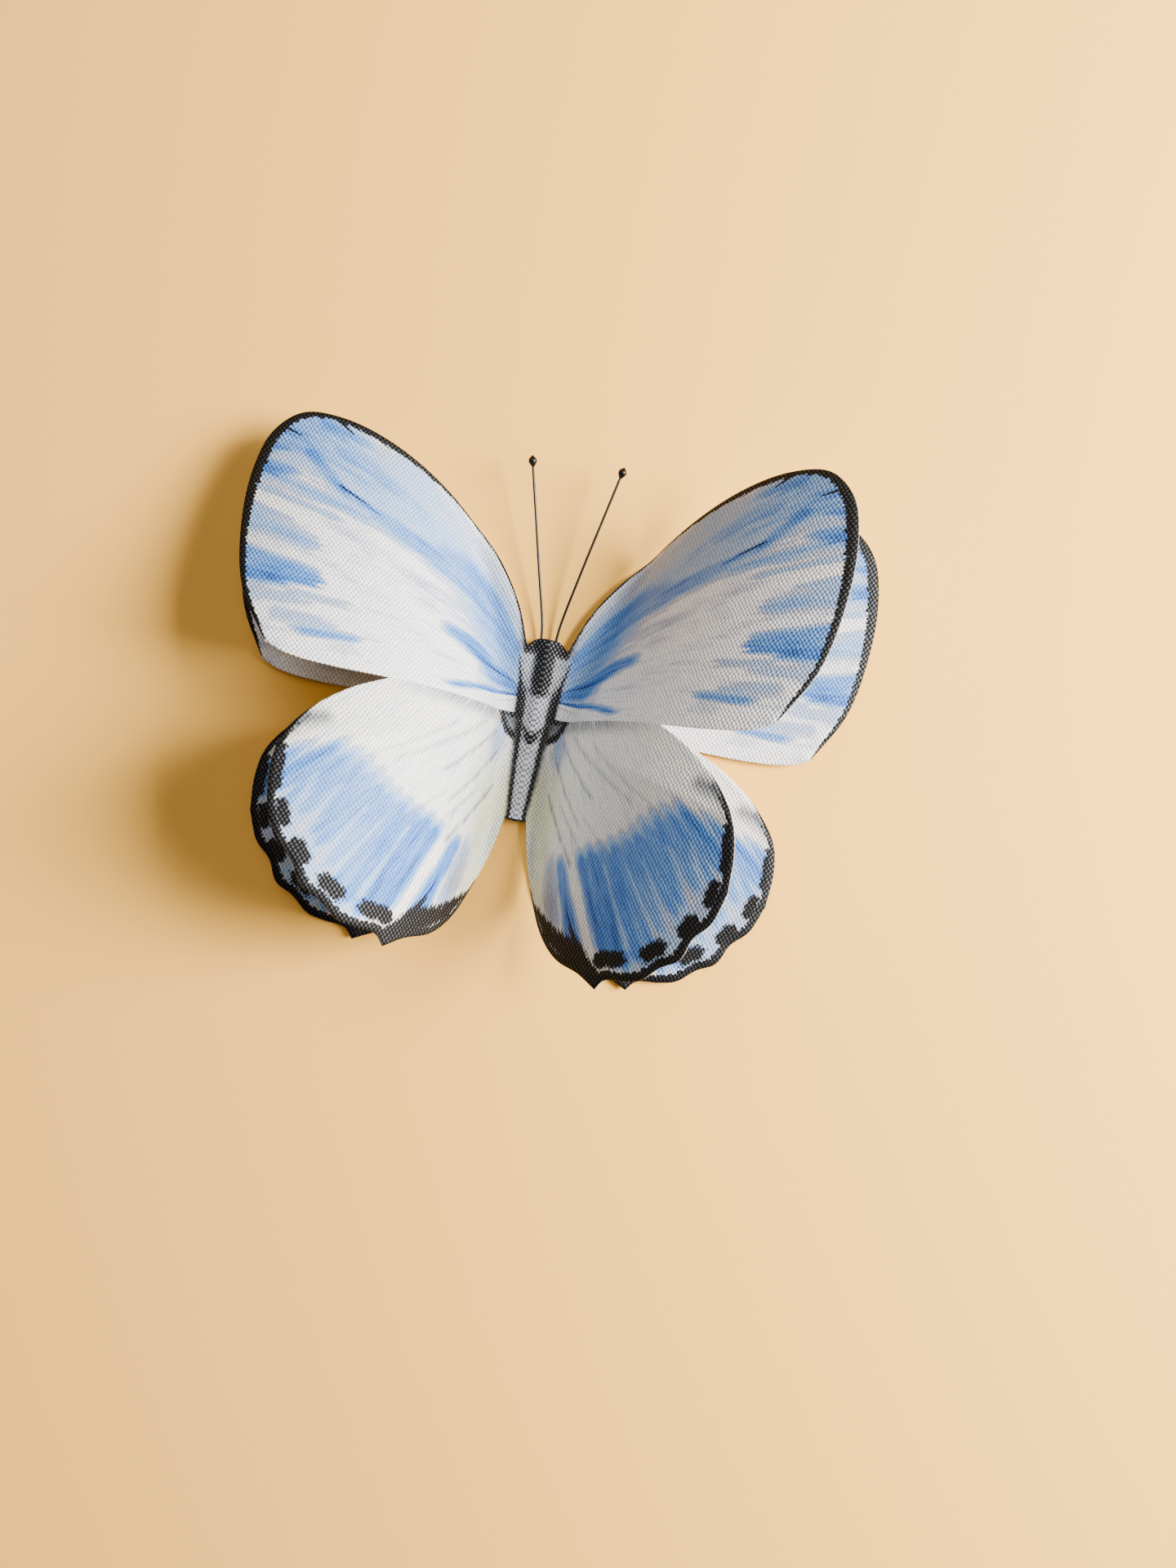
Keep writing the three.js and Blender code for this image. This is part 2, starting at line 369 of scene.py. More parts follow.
def brush(place, strokes, stretch=1.0):
    """The ink that tapered strokes leave: (from x, y, to x, y, half widths, softness, strength).

    The place's x is already multiplied by the stretch, which makes the ends of strokes longer and softer.
    """
    load = None
    for x0, y0, x1, y1, half, end_half, soft, strength in strokes:
        run = ((x1 - x0) * stretch, y1 - y0, 0)
        away = Shade.vector("SUBTRACT", place, (x0 * stretch, y0, 0))
        passed = Shade.vector("DOT_PRODUCT", away, run, output=1)
        share = Shade.maths("MULTIPLY", passed, 1 / (run[0] ** 2 + run[1] ** 2), clamp=True)
        foot = Shade.node("ShaderNodeVectorMath", {"operation": "SCALE"}, {"Vector": run, "Scale": share})
        beside = Shade.vector("DISTANCE", away, foot, output=1)
        outside = beside - Shade.maths("MULTIPLY_ADD", share, end_half - half, half)
        mark = rise(outside, soft, -soft, strength)
        load = mark if load is None else Shade.maths("MAXIMUM", load, mark)
    return load


def tint(load, stops):
    """The colour that a load of ink gives, from (load, colour) stops. The full load is FULL_LOAD."""
    shares = [(position / FULL_LOAD, colour) for position, colour in stops]
    return Shade.node("ShaderNodeValToRGB", {"stops": shares}, {0: load * (1 / FULL_LOAD)})


# Inks
FULL_LOAD = 1.3
WHITE = ink(240, 239, 240)
CREAM = ink(240, 238, 231)
GREENISH = ink(226, 228, 190)
WASH = ink(176, 184, 206)
PALE_BLUE = ink(158, 186, 222)
BLUE = ink(118, 160, 214)
AZURE = ink(76, 134, 208)
NAVY = ink(28, 58, 128)
SMOKE = ink(92, 98, 104)
BLACK = ink(15, 14, 14)
BODY_GREY = ink(186, 188, 196)
BLUE_INKS = [(0.32, WASH), (0.52, PALE_BLUE), (0.76, BLUE), (0.98, AZURE), (1.25, NAVY)]

# The forewing is painted in streaks along its veins, which bend over from the root towards the outer
# margin. Its strokes are given as a distance out and a place across the veins.
FOREWING_ROOT = (2.2, 5)
FOREWING_STRETCH = 0.12
FOREWING_STROKES = [
    # Wash behind the front edge
    (7, 6.1, 24, 5.7, 0.5, 0.9, 0.8, 0.34),
    (18, 4.9, 34, 5.0, 0.7, 0.9, 0.6, 0.48),
    (30, 5.0, 46, 5.0, 0.7, 0.7, 0.6, 0.58),
    (38, 5.5, 46, 4.9, 0.35, 0.5, 0.4, 0.72),
    # Blue band from the root to the apex
    (3, 2.6, 6, 3.6, 1.1, 1.2, 0.5, 0.6),
    (6, 3.9, 9.8, 4.6, 1.0, 1.1, 0.45, 0.74),
    (9.8, 4.6, 14.5, 4.37, 1.1, 0.82, 0.4, 0.8),
    (14.5, 4.37, 20, 4.03, 0.82, 0.5, 0.35, 0.8),
    (20, 4.03, 25.4, 3.95, 0.5, 0.35, 0.3, 0.78),
    (25.4, 3.95, 30, 4.0, 0.35, 0.26, 0.28, 0.8),
    (30, 4.0, 36, 4.2, 0.2, 0.16, 0.3, 0.82),
    (36, 4.25, 46, 4.75, 0.16, 0.3, 0.3, 0.66),
    (35, 4.1, 40.5, 4.6, 0.16, 0.24, 0.16, 0.86),
    (38, 4.6, 44, 5.0, 0.12, 0.2, 0.2, 0.76),
    # Streaks either side of it
    (28.5, 4.95, 36.5, 5.05, 0.12, 0.24, 0.2, 0.78),
    (33, 5.75, 39.5, 5.55, 0.15, 0.25, 0.2, 0.8),
    (31, 3.72, 47, 3.65, 0.1, 0.16, 0.16, 0.6),
    (43.2, 3.95, 48.5, 3.75, 0.14, 0.26, 0.14, 0.86),
    (44.5, 4.5, 47.6, 4.35, 0.1, 0.2, 0.16, 0.74),
    (36, 3.3, 48, 3.3, 0.06, 0.1, 0.14, 0.5),
    (8, 2.5, 22, 2.6, 0.3, 0.2, 0.4, 0.24),
    (18, 2.9, 32, 2.95, 0.12, 0.1, 0.3, 0.2),
    # Patches on the outer margin
    (39.5, 2.42, 48.5, 2.5, 0.18, 0.26, 0.2, 0.56),
    (41.5, 2.4, 45.5, 2.42, 0.07, 0.07, 0.12, 0.82),
    (42, 2.78, 48.5, 2.85, 0.04, 0.06, 0.1, 0.62),
    (38.6, 1.54, 48.5, 1.5, 0.26, 0.4, 0.1, 0.8),
    (42, 1.3, 48.5, 1.25, 0.14, 0.2, 0.12, 0.92),
    (33, 1.1, 40, 1.03, 0.05, 0.08, 0.14, 0.5),
    (31.2, 0.2, 38.5, 0.15, 0.09, 0.1, 0.12, 0.76),
    (35, 0.4, 42, 0.48, 0.1, 0.16, 0.2, 0.42),
    (38, 0.85, 46, 0.8, 0.08, 0.14, 0.2, 0.32),
    # Root
    (3.3, 0.5, 5, 0.85, 0.35, 0.58, 0.3, 0.84),
    (5, 0.85, 8, 1.45, 0.58, 0.48, 0.22, 0.9),
    (8, 1.45, 12, 1.7, 0.48, 0.42, 0.18, 0.92),
    (12, 1.7, 16, 1.72, 0.42, 0.26, 0.16, 0.9),
    (2.8, 0.05, 9, -0.15, 0.2, 0.16, 0.14, 0.92),
    (9, -0.15, 16, -0.45, 0.16, 0.1, 0.12, 0.86),
    # Dark lines
    (29, 4.02, 36, 4.2, 0.04, 0.05, 0.08, 1.25),
    (42, 1.66, 47, 1.74, 0.02, 0.03, 0.07, 1.2),
    (3, 0.3, 8, 1.25, 0.1, 0.02, 0.14, 1.1),
]
FOREWING_BLACK = [
    (37.8, 39.8, 35.3, 38, 0.28, 0.08, 0.14, 1),
    (45.8, 37.5, 42.8, 36.3, 0.26, 0.08, 0.14, 1),
    (26.5, 36.6, 23, 34.4, 0.22, 0.05, 0.14, 0.9),
    (33, 39, 29.6, 36.8, 0.3, 0.05, 0.14, 0.8),
    (31.6, 27.4, 36, 29.5, 0.06, 0.13, 0.12, 0.75),
    (2.8, 2.4, 3.1, 7, 0.4, 0.35, 0.5, 1),
    (3.1, 7, 4.0, 11, 0.35, 0.1, 0.5, 0.9),
]

# The hindwing's streaks run nearly straight, fanning out from a point ahead of the other wing. Its strokes
# are given as a place along the body and a place across the fan.
HINDWING_FAN = (-8, 28)
HINDWING_STRETCH = 0.15
HINDWING_STROKES = [
    # Blue band
    (-13.4, 11.5, -14.8, 11.3, 0.4, 0.35, 0.25, 0.8),
    (-12.8, 10.7, -15.5, 10.5, 0.5, 0.45, 0.2, 0.84),
    (-13.6, 10.0, -16.8, 9.7, 0.5, 0.45, 0.22, 0.78),
    (-14.4, 9.3, -18.4, 9.0, 0.5, 0.45, 0.22, 0.76),
    (-15.6, 8.6, -20.4, 8.3, 0.5, 0.45, 0.22, 0.78),
    (-17, 8.0, -22.4, 7.8, 0.5, 0.4, 0.2, 0.82),
    (-18, 7.4, -25, 7.2, 0.5, 0.4, 0.2, 0.78),
    (-18.9, 6.8, -27.6, 6.6, 0.5, 0.4, 0.2, 0.8),
    (-19.6, 6.2, -29.6, 6.1, 0.5, 0.4, 0.2, 0.84),
    (-20.2, 5.6, -31, 5.6, 0.5, 0.4, 0.18, 0.88),
    (-19.8, 5.1, -30.4, 5.15, 0.3, 0.28, 0.16, 0.92),
    # Paler blue where the band fades
    (-17, 9.4, -23, 8.6, 0.5, 0.4, 0.5, 0.44),
    (-21, 8.2, -27.5, 7.2, 0.6, 0.5, 0.5, 0.44),
    (-27, 6.8, -31, 6.2, 0.5, 0.4, 0.4, 0.5),
    (-21, 3.5, -27.5, 3.5, 0.25, 0.3, 0.4, 0.32),
    (-0.6, 4.5, -3.0, 4.1, 0.3, 0.2, 0.5, 0.4),
    # Dark wedge and lines
    (-20.6, 3.97, -30.6, 4.14, 0.25, 0.3, 0.14, 0.86),
    (-24, 4.02, -30.8, 4.16, 0.03, 0.16, 0.14, 1.24),
    (-19.6, 5.0, -27, 5.0, 0.04, 0.06, 0.1, 1.05),
    (-11, 10.3, -15.5, 10.2, 0.04, 0.05, 0.12, 1.0),
    (-12, 11.6, -15.5, 11.3, 0.1, 0.12, 0.16, 0.98),
    (-15, 8.2, -19.5, 8.15, 0.04, 0.05, 0.12, 0.95),
]
# Pale rays that split the blue
HINDWING_RAYS = [
    (-18.5, 4.5, -31, 4.68, 0.05, 0.1, 0.12, 0.85),
    (-19.5, 6.0, -30, 5.9, 0.02, 0.08, 0.12, 0.55),
    (-19.5, 6.95, -28, 6.95, 0.02, 0.1, 0.14, 0.55),
    (-18, 7.7, -26, 7.5, 0.02, 0.14, 0.14, 0.5),
    (-16, 9.0, -22, 8.7, 0.04, 0.16, 0.2, 0.6),
    (-15, 10.0, -18, 9.6, 0.03, 0.1, 0.14, 0.5),
]
HINDWING_SMOKE = [
    # Veins
    (-9.9, 3.4, -19.8, 4.45, 0.05, 0.04, 0.12, 1.0),
    (-3.4, 3.9, -14, 5.2, 0.05, 0.04, 0.12, 0.85),
    (-1.5, 4.85, -10, 6.35, 0.06, 0.04, 0.14, 0.8),
    (-0.6, 5.8, -10, 8.4, 0.06, 0.03, 0.16, 0.65),
    (-2, 7.4, -11.4, 9.6, 0.05, 0.02, 0.16, 0.5),
    (-11, 4.2, -17, 5.0, 0.04, 0.03, 0.12, 0.65),
    (-13, 5.6, -18, 6.4, 0.03, 0.02, 0.12, 0.5),
    # Grey beside the inner black patch
    (-21.5, 3.3, -26, 3.3, 0.1, 0.35, 0.3, 0.5),
    (-16, 3.1, -22, 3.2, 0.1, 0.1, 0.3, 0.25),
]
# The rest is in millimetres: a smoky mark at the outer end of the front edge, the black spots inside the
# scalloped margin, and the black patch on the inner edge.
HINDWING_SHADOW = [
    (34.6, -6.4, 37.2, -7.2, 1.0, 1.3, 1.1, 0.8),
    (36.6, -6.6, 39.6, -9.6, 0.9, 0.7, 1.0, 1),
]
HINDWING_SPOTS = [
    (39.6, -11.6, 39.8, -17.4, 0.5, 0.6, 0.4, 1),
    (38.7, -19.6, 38.2, -21.8, 0.9, 0.95, 0.6, 1),
    (36, -24.8, 35, -26.4, 1.1, 1.15, 0.6, 1),
    (31.6, -29.2, 29.6, -30.6, 1.2, 1.15, 0.6, 1),
    (25.4, -32, 22, -32.8, 1.1, 1.3, 0.6, 1),
    (38, -7.8, 39.8, -10.2, 0.1, 0.5, 0.5, 0.95),
    (2.6, 2.0, 5.6, 1.8, 0.4, 0.2, 0.5, 0.95),
]
HINDWING_PATCH = [
    (6.4, -27, 10.4, -30, 0.3, 1.2, 0.7, 1),
    (10.4, -30.4, 16, -32.4, 1.3, 1.8, 0.9, 1),
    (16, -32.4, 21, -35.2, 1.8, 1.4, 0.9, 1),
    (15.6, -29.4, 18.6, -32.6, 0.3, 0.9, 0.8, 1),
]
# A small grey half lens beside the body: its middle and its reach out and along.
WING_EYE = (1.8, 2.5)
WING_EYE_REACH = (3.3, 4.0)

# Weave: plain, with the threads' spacing across and along the body and the height of their crowns. Crowns
# are painted lighter and the gaps between them darker, as painted light and shade of the weave; crowns
# also take less of the black ink, and are a little smoother.
WEAVE_PITCH = (0.33, 0.44)
WEAVE_DEPTH = 0.06
# Painted light and shade: how much lighter the crowns and darker the gaps are painted
CROWN_PAINTED_SHADING = 0.3
CROWN_INK = 0.18
CROWN_ROUGHNESS = 0.12
CLOTH_ROUGHNESS = 0.62
THREAD_SHADE = 0.3
BORDER_SOFTNESS = 0.22


def streaked(load, streak, depth):
    """A load of ink on a faint wash, both lighter and heavier along the streaks."""
    return load + 0.1 + (streak - 0.5) * (0.4 + 0.4 * load + depth * 0.5)


def forewing_print(lateral, forward, place, _speckle):
    """The forewing's colour, its black marks, and the noise that feathers its border."""
    reach = Shade.maths("SQRT", Shade.maths("MAXIMUM", lateral - FOREWING_ROOT[0], 0.5))
    vein = (forward - FOREWING_ROOT[1]) / reach
    fine = grain(vein * 8.0, lateral * 0.16, 5.0)
    broad = grain(vein * 2.6 + 7.0, lateral * 0.1)
    teeth = grain(vein * 14.0, lateral * 0.5)
    drift = lateral * FOREWING_STRETCH + (fine - 0.5) * 0.5
    streaks = Shade.node("ShaderNodeCombineXYZ", {}, {"X": drift, "Y": vein + (fine - 0.5) * 0.16})
    load = brush(streaks, FOREWING_STROKES, FOREWING_STRETCH)
    load = streaked(load, (fine + broad) * 0.5, 1.1)
    colour = tint(load, [(0, WHITE), (0.1, WHITE)] + BLUE_INKS)
    return colour, brush(place, FOREWING_BLACK), teeth


def hindwing_print(lateral, forward, place, speckle):
    """The hindwing's colour, its black marks, and the noise that feathers its border."""
    ray = (lateral - HINDWING_FAN[0]) * 10 / (HINDWING_FAN[1] - forward)
    fine = grain(ray * 7.0, forward * 0.16, 5.0)
    broad = grain(ray * 2.2 + 5.0, forward * 0.1)
    teeth = grain(ray * 11.0, forward * 0.5)
    drift = forward * HINDWING_STRETCH + (fine - 0.5) * 0.3
    streaks = Shade.node("ShaderNodeCombineXYZ", {}, {"X": drift, "Y": ray + (fine - 0.5) * 0.16})
    load = brush(streaks, HINDWING_STROKES, HINDWING_STRETCH)
    load = load * (1 - brush(streaks, HINDWING_RAYS, HINDWING_STRETCH))
    load = streaked(load, (fine + broad) * 0.5, 0.5)
    inner = rise(lateral, 10.5, 4.0) * rise(forward, -3.0, -9.0)
    colour = tint(load, [(0, CREAM), (0.1, CREAM)] + BLUE_INKS)
    colour = blend(colour, GREENISH, inner * rise(load, 0.3, 0.0))
    smoke = brush(streaks, HINDWING_SMOKE, HINDWING_STRETCH) * rise(fine, 0.2, 0.55)
    smoke = Shade.maths("MAXIMUM", smoke, brush(place, HINDWING_SHADOW))
    front = rise(forward, -1.0, 1.4, 0.85) * rise(lateral, 2.0, 6.0) * rise(lateral, 33.0, 12.0)
    colour = blend(colour, SMOKE, Shade.maths("MAXIMUM", smoke, front * rise(fine, 0.1, 0.7)))
    eye_place = Shade.vector("SUBTRACT", place, (*WING_EYE, 0))
    eye_place = Shade.vector("DIVIDE", eye_place, (*WING_EYE_REACH, 1))
    from_eye = Shade.vector("LENGTH", eye_place, output=1) + (speckle - 0.5) * 0.15
    colour = blend(colour, SMOKE, rise(from_eye, 1.1, 0.8, 0.85))
    ring = rise(abs(from_eye - 1), 0.3, 0.0, 0.95)
    ring = ring * rise(forward, 2.8, 2.0) * rise(lateral, 2.0, 2.8)
    uneven = (speckle - 0.5) * 1.4
    feather = teeth - 0.5
    sockets = {"X": feather * 0.5 + uneven, "Y": feather * -0.8 + uneven}
    nudge = Shade.node("ShaderNodeCombineXYZ", {}, sockets)
    spots = brush(Shade.vector("ADD", place, nudge), HINDWING_SPOTS)
    nudge = Shade.node("ShaderNodeCombineXYZ", {}, {"X": feather * 1.6, "Y": feather * -2.6})
    patch = brush(Shade.vector("ADD", place, nudge), HINDWING_PATCH)
    marks = Shade.maths("MAXIMUM", Shade.maths("MAXIMUM", spots, patch), ring)
    return colour, marks, teeth


# The printed body: its light middle's half width at the origin, and how that grows towards the head.
BODY_MIDDLE_HALF = 1.5
BODY_WIDENING = 0.05
BODY_SPOTS = [
    (0, 6, 0.5, 5.7, 0.8, 0.5, 0.6, 1),
    (0, -1.6, 0.5, -0.8, 0.7, 0.5, 0.5, 0.9),
    (0.5, -0.8, 1.4, 0.2, 0.4, 0.3, 0.5, 0.8),
]


def body_print(lateral, forward, place, speckle, crown):
    """The printed body's colour, and where it lies. Painted glints lighten the thread crowns in its dark
    parts.
    """
    middle_half = Shade.maths("MAXIMUM", forward * BODY_WIDENING + BODY_MIDDLE_HALF, 0.5)
    across = lateral / middle_half
    sides = rise(across, 0.8, 1.3) * rise(forward, 9.0, 3.5)
    thorax = rise(across, 1.1, 0.3) * rise(forward, 4.8, 7.0)
    head = rise(forward, 10.6, 12.8, 0.9)
    dark = brush(place, BODY_SPOTS)
    for part in (sides, thorax, head):
        dark = Shade.maths("MAXIMUM", dark, part)
    uneven = (speckle - 0.5) * 0.9
    # Painted glints: the crowns of the threads are lightened towards the body's grey.
    light = rise(0.95 - dark + uneven + 0.4 * crown, 0.05, 1.3)
    return blend(BLACK, BODY_GREY, light), rise(across + uneven * 0.5 - 0.2 * crown, 2.35, 1.5)


def woven(name, wing_print):
    """Plain-woven cloth with a printed wing, or bare on its back."""
    material = bpy.data.materials.new(name)
    material.use_nodes = True
    Shade.tree = material.node_tree
    surface = Shade.tree.nodes["Principled BSDF"]
    pattern = Shade.node("ShaderNodeAttribute", {"attribute_name": "pattern"}, {}, 1)
    lateral = Shade.node("ShaderNodeSeparateXYZ", {}, {0: pattern}, 0)
    forward = Shade.node("ShaderNodeSeparateXYZ", {}, {0: pattern}, 1)
    edge_distance = Shade.node("ShaderNodeSeparateXYZ", {}, {0: pattern}, 2)
    border = Shade.node("ShaderNodeAttribute", {"attribute_name": "border"}, {}, 2)
    place = Shade.node("ShaderNodeCombineXYZ", {}, {"X": lateral, "Y": forward})
    speckle = grain(lateral * 1.1, forward * 1.1)
    sway = (grain(lateral * 0.4, forward * 0.4) - 0.5) * rise(lateral, 1.0, 6.0, 0.5)
    warp = Shade.maths("SINE", (lateral + sway) * (math.pi / WEAVE_PITCH[0]))
    crown = warp * Shade.maths("SINE", (forward + sway) * (math.pi / WEAVE_PITCH[1]))
    if wing_print is None:
        ghost = rise(edge_distance - border, 0.6, -0.4, 0.3)
        colour = blend(WHITE, WASH, rise(grain(lateral * 0.12, forward * 0.12), 0.4, 0.8, 0.6))
        colour = blend(colour, SMOKE, ghost)
    else:
        colour, marks, teeth = wing_print(lateral, forward, place, speckle)
        ragged = border * (0.45 + 1.1 * teeth)
        edge = rise(edge_distance - ragged, BORDER_SOFTNESS, -BORDER_SOFTNESS) * rise(border, 0.0, 0.12)
        body_colour, on_body = body_print(lateral, forward, place, speckle, crown)
        colour = blend(colour, body_colour, on_body)
        marks = Shade.maths("MAXIMUM", edge, marks) - CROWN_INK * crown
        colour = blend(colour, BLACK, rise(marks, 0.1, 0.85))
    slub = grain(lateral * 0.5, forward * 4.0) + grain(lateral * 5.0, forward * 0.4)
    # Painted light and shade of the weave: crowns lighter and gaps darker in the colour, with slubs of
    # uneven thread.
    thread_tone_and_painted_shading = 0.86 + CROWN_PAINTED_SHADING * crown + (slub - 1.0) * THREAD_SHADE
    thread_tone_and_painted_shading = Shade.node("ShaderNodeCombineColor", {}, {0: thread_tone_and_painted_shading, 1: thread_tone_and_painted_shading, 2: thread_tone_and_painted_shading})
    settings = {"data_type": "RGBA", "blend_type": "MULTIPLY"}
    colour = Shade.node("ShaderNodeMix", settings, {0: 1.0, 6: colour, 7: thread_tone_and_painted_shading}, 2)
    light_ink = rise(Shade.node("ShaderNodeRGBToBW", {}, {0: colour}), 0.02, 0.3)
    glint = Shade.maths("MAXIMUM", light_ink, rise(crown, -0.2, 0.8))
    relief = {"Strength": 1.0, "Distance": WEAVE_DEPTH * MM, "Height": crown}
    bumps = Shade.node("ShaderNodeBump", {}, relief)
    Shade.tree.links.new(colour.socket, surface.inputs["Base Color"])
    roughness = CLOTH_ROUGHNESS - CROWN_ROUGHNESS * crown
    Shade.tree.links.new(roughness.socket, surface.inputs["Roughness"])
    Shade.tree.links.new(glint.socket, surface.inputs["Coat Weight"])
    Shade.tree.links.new(bumps.socket, surface.inputs["Normal"])
    surface.inputs["Specular IOR Level"].default_value = 0.3
    surface.inputs["Coat Roughness"].default_value = 0.6
    surface.inputs["Coat IOR"].default_value = 1.7
    return material


cloth_materials = [
    woven("printed_forewing", forewing_print),
    woven("printed_hindwing", hindwing_print),
    woven("bare_cloth", None),
]
LOWER_FOLD = {"flat": 7, "root": 1.5, "tip": 4, "twist": -1.5, "skew": 0}
lower_wings = cut_sheet("lower_wing_cloth", {
    "left": LOWER_FOLD, "right": LOWER_FOLD, "height": CLOTH_THICKNESS / 2, "ridge": 0, "steps": 22,
}, cloth_materials)
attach(lower_wings, "root")
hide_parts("lower_wings")

# Antennae
# Two stiff black enamelled wires, laid between the sheets at the head and rising a little ahead of it.
# Each ends in a glossy drop of black lacquer.

WIRE_RADIUS = 0.19
DROP_RADIUS = 0.65
DROP_LENGTH = 2.1
DROP_SHAPE = 1.3  # above 1, the drop is fullest past its middle
WIRE_HEIGHT = 0.95
TIP_HEIGHT = 6
LINE_STEPS = 600
WIRE_SIDES = 20
WIRE_STEPS = 90
DROP_STEPS = 28
ANTENNAE = {
    "antenna_left": [
        (-0.7, 10.5, WIRE_HEIGHT), (-1.1, 13.2, WIRE_HEIGHT), (-1.5, 16.5, 1.4),
        (-3.3, 24, 2.9), (-7.4, 40.9, TIP_HEIGHT),
    ],
    "antenna_right": [
        (0.7, 10.5, WIRE_HEIGHT), (1, 13.2, WIRE_HEIGHT), (1.3, 16.5, 1.4),
        (2.8, 24, 2.9), (6.7, 41.6, TIP_HEIGHT),
    ],
}


def lacquered_wire():
    """Black enamel, worn a little brown, and smooth lacquer."""
    material = bpy.data.materials.new("black_enamel")
    material.use_nodes = True
    Shade.tree = material.node_tree
    surface = Shade.tree.nodes["Principled BSDF"]
    place = Shade.node("ShaderNodeTexCoord", {}, {}, 3)
    worn = Shade.node("ShaderNodeTexNoise", {}, {"Vector": place, "Scale": 900.0, "Detail": 3.0})
    colour = blend(ink(14, 11, 11), ink(46, 26, 20), rise(worn, 0.45, 0.75))
    Shade.tree.links.new(colour.socket, surface.inputs["Base Color"])
    Shade.tree.links.new((0.3 + 0.25 * worn).socket, surface.inputs["Roughness"])
    surface.inputs["Coat Weight"].default_value = 0.2
    surface.inputs["Coat Roughness"].default_value = 0.1
    return material


def antenna(name, points, material):
    """A wire along a smooth curve, swelling into a drop at its end."""
    line = smooth_curve(points, LINE_STEPS)
    passed = np.concatenate([[0], np.cumsum(np.linalg.norm(np.diff(line, axis=0), axis=1))])
    drop_start = passed[-1] - DROP_LENGTH
    shares = np.arange(1, DROP_STEPS) / DROP_STEPS
    swell = np.maximum(DROP_RADIUS * np.sin(math.pi * shares**DROP_SHAPE), WIRE_RADIUS * (1 - shares))
    along_wire = np.linspace(0, drop_start, WIRE_STEPS + 1)
    stations = np.concatenate([along_wire, drop_start + DROP_LENGTH * shares])
    radii = np.concatenate([np.full(WIRE_STEPS + 1, WIRE_RADIUS), swell])
    centres = np.stack([np.interp(stations, passed, line[:, axis]) for axis in range(3)], 1)
    ahead = np.gradient(centres, axis=0)
    ahead /= np.linalg.norm(ahead, axis=1)[:, None]
    aside = np.cross(ahead, (0, 0, 1))
    aside /= np.linalg.norm(aside, axis=1)[:, None]
    above = np.cross(aside, ahead)
    turn = np.arange(WIRE_SIDES) / WIRE_SIDES * 2 * math.pi
    rings = centres[:, None] + radii[:, None, None] * (
        np.cos(turn)[None, :, None] * aside[:, None] + np.sin(turn)[None, :, None] * above[:, None]
    )
    vertices = [*rings.reshape(-1, 3), line[0], line[-1]]
    start = len(rings) * WIRE_SIDES
    end = start + 1
    last = start - WIRE_SIDES
    faces = []
    for k in range(WIRE_SIDES):
        m = (k + 1) % WIRE_SIDES
        faces.append((start, k, m))
        faces.append((end, last + m, last + k))
        for ring in range(len(rings) - 1):
            near = ring * WIRE_SIDES
            far = near + WIRE_SIDES
            faces.append((near + k, far + k, far + m, near + m))
    mesh = bpy.data.meshes.new(name)
    mesh.from_pydata((np.array(vertices) * MM).tolist(), [], faces)
    mesh.materials.append(material)
    mesh.polygons.foreach_set("use_smooth", [True] * len(faces))
    mesh.update()
    piece = bpy.data.objects.new(name, mesh)
    bpy.context.scene.collection.objects.link(piece)
    return piece


enamel = lacquered_wire()
for node_name, wire_points in ANTENNAE.items():
    wire = antenna(node_name + "_wire", wire_points, enamel)
    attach(wire, "root")
    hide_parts(node_name)

# Upper sheet
# A second sheet of the same printed cloth, cut to the same pattern and joined to the first along the body.
# Its body arches over the antenna wires, and its wings are bent up, the left ones more than the right.

SHEET_GAP = 0.62
BODY_RIDGE = 0.9
UPPER_LEFT = {"flat": BODY_HALF_WIDTH, "root": 66, "tip": -5, "twist": -24, "skew": 18}
UPPER_RIGHT = {"flat": BODY_HALF_WIDTH, "root": 66, "tip": 12, "twist": -2, "skew": 16}
upper_wings = cut_sheet("upper_wing_cloth", {
    "left": UPPER_LEFT, "right": UPPER_RIGHT, "height": 1.5 * CLOTH_THICKNESS + SHEET_GAP,
    "ridge": BODY_RIDGE, "steps": 38,
}, cloth_materials)
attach(upper_wings, "root")
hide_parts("upper_wings")

# Setting
# A plain pale floor, a soft key light from the right of the picture, a weak warm fill, and the camera
# straight above, a little under 185 mm from the floor.

FLOOR_COLOUR = ink(246, 194, 108)
FLOOR_HALF = 2
PICTURE_TURN = math.radians(10.64)  # the body leans to the right in the picture

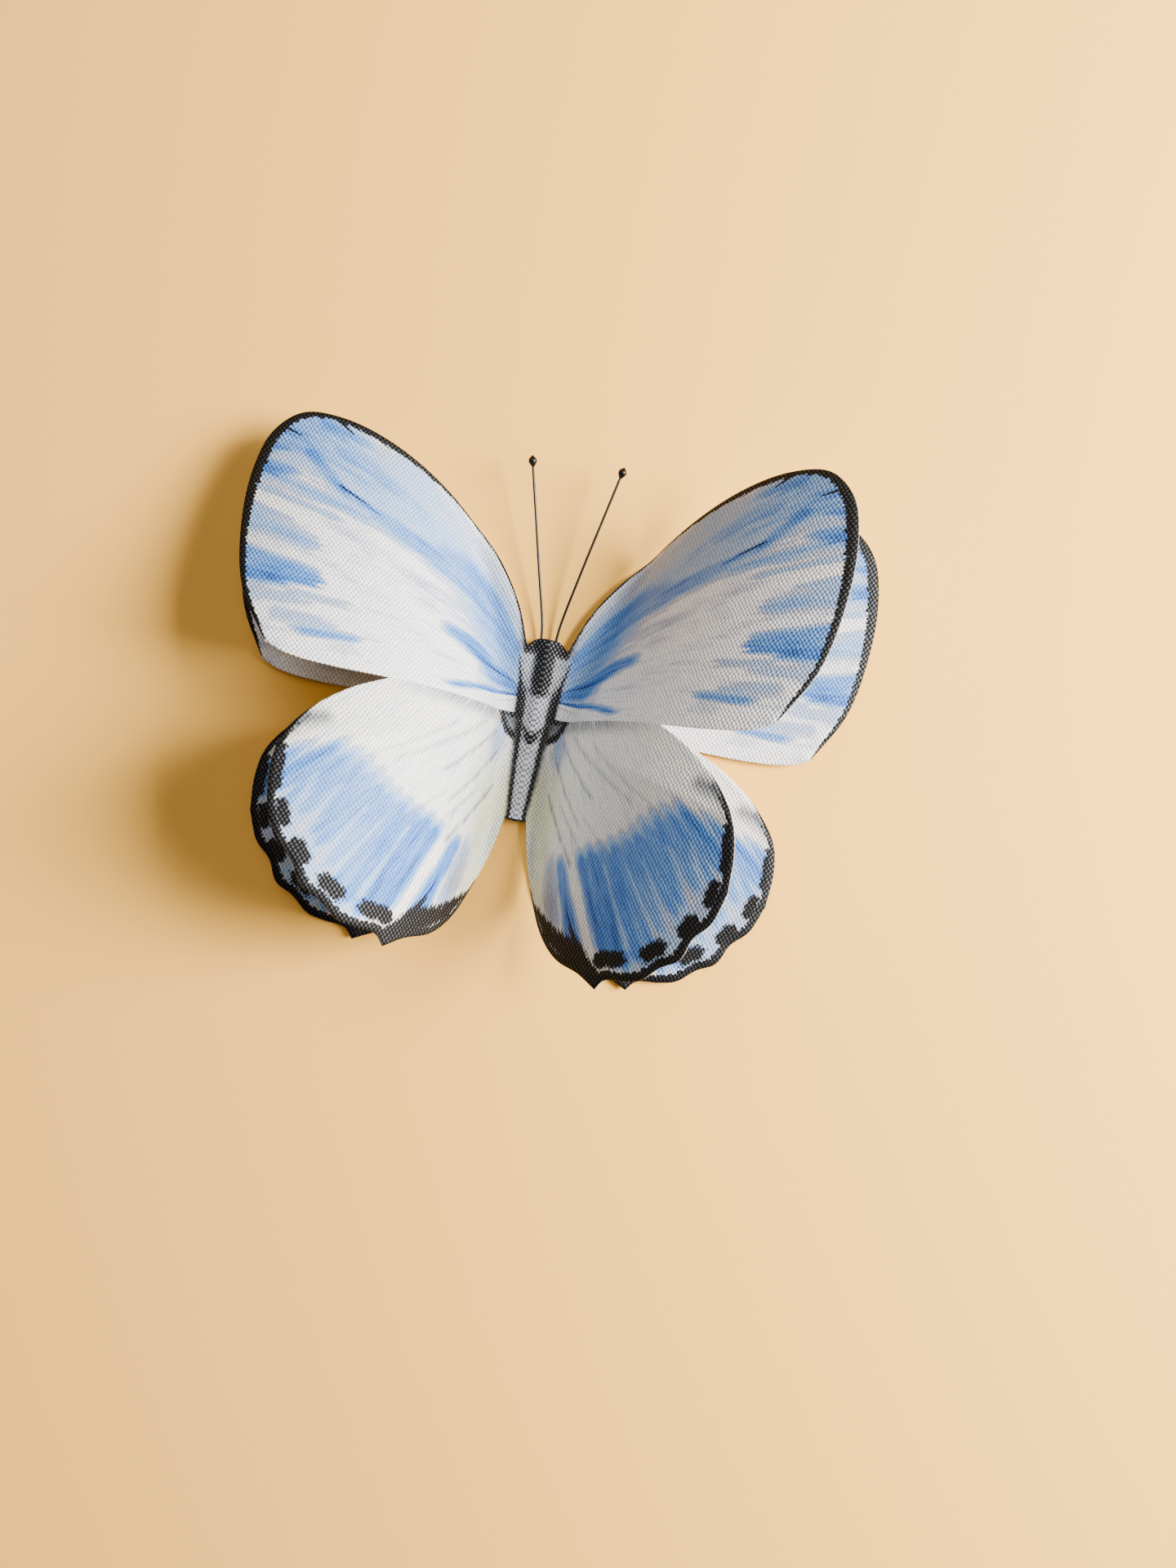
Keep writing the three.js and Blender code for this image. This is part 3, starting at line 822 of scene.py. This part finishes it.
floor_mesh = bpy.data.meshes.new("floor")
floor_corners = [(FLOOR_HALF * x, FLOOR_HALF * y, 0) for x, y in ((-1, -1), (1, -1), (1, 1), (-1, 1))]
floor_mesh.from_pydata(floor_corners, [], [(0, 1, 2, 3)])
floor = bpy.data.objects.new("floor", floor_mesh)
bpy.context.scene.collection.objects.link(floor)
floor_paint = bpy.data.materials.new("floor_paint")
floor_paint.use_nodes = True
floor_surface = floor_paint.node_tree.nodes["Principled BSDF"]
floor_surface.inputs["Base Color"].default_value = FLOOR_COLOUR
floor_surface.inputs["Roughness"].default_value = 0.7
floor_surface.inputs["Specular IOR Level"].default_value = 0.2
floor_mesh.materials.append(floor_paint)


def soft_light(name, bearing, elevation, distance, size, power, colour):
    """A square soft light aimed at the body. The bearing is from the right of the picture, in degrees."""
    data = bpy.data.lights.new(name, "AREA")
    data.size = size
    data.energy = power
    data.color = colour
    light = bpy.data.objects.new(name, data)
    turn = PICTURE_TURN + math.radians(bearing)
    rise_angle = math.radians(elevation)
    light.location = (
        distance * math.cos(rise_angle) * math.cos(turn),
        distance * math.cos(rise_angle) * math.sin(turn),
        distance * math.sin(rise_angle),
    )
    light.rotation_euler = (0, math.pi / 2 - rise_angle, turn)
    bpy.context.scene.collection.objects.link(light)


soft_light(
    "key_light", bearing=3, elevation=36, distance=0.55, size=0.27, power=9.6, colour=(1, 0.99, 0.98),
)
soft_light(
    "fill_light", bearing=118, elevation=60, distance=0.9, size=0.8, power=3.0, colour=(1, 0.95, 0.89),
)

world = bpy.data.worlds.new("studio")
world.use_nodes = True
world.node_tree.nodes["Background"].inputs["Color"].default_value = (1, 0.96, 0.92, 1)
world.node_tree.nodes["Background"].inputs["Strength"].default_value = 0.1
bpy.context.scene.world = world
bpy.context.scene.view_settings.view_transform = "AgX"
bpy.context.scene.view_settings.look = "AgX - Medium High Contrast"

camera_data = bpy.data.cameras.new("camera")
camera_data.lens = 27.04
camera_data.sensor_width = 36
camera_data.clip_start = 0.01
camera = bpy.data.objects.new("camera", camera_data)
camera.location = (0.0101, -0.0066, 0.1846)
camera.rotation_euler = (0, 0, PICTURE_TURN)
bpy.context.scene.collection.objects.link(camera)
bpy.context.scene.camera = camera
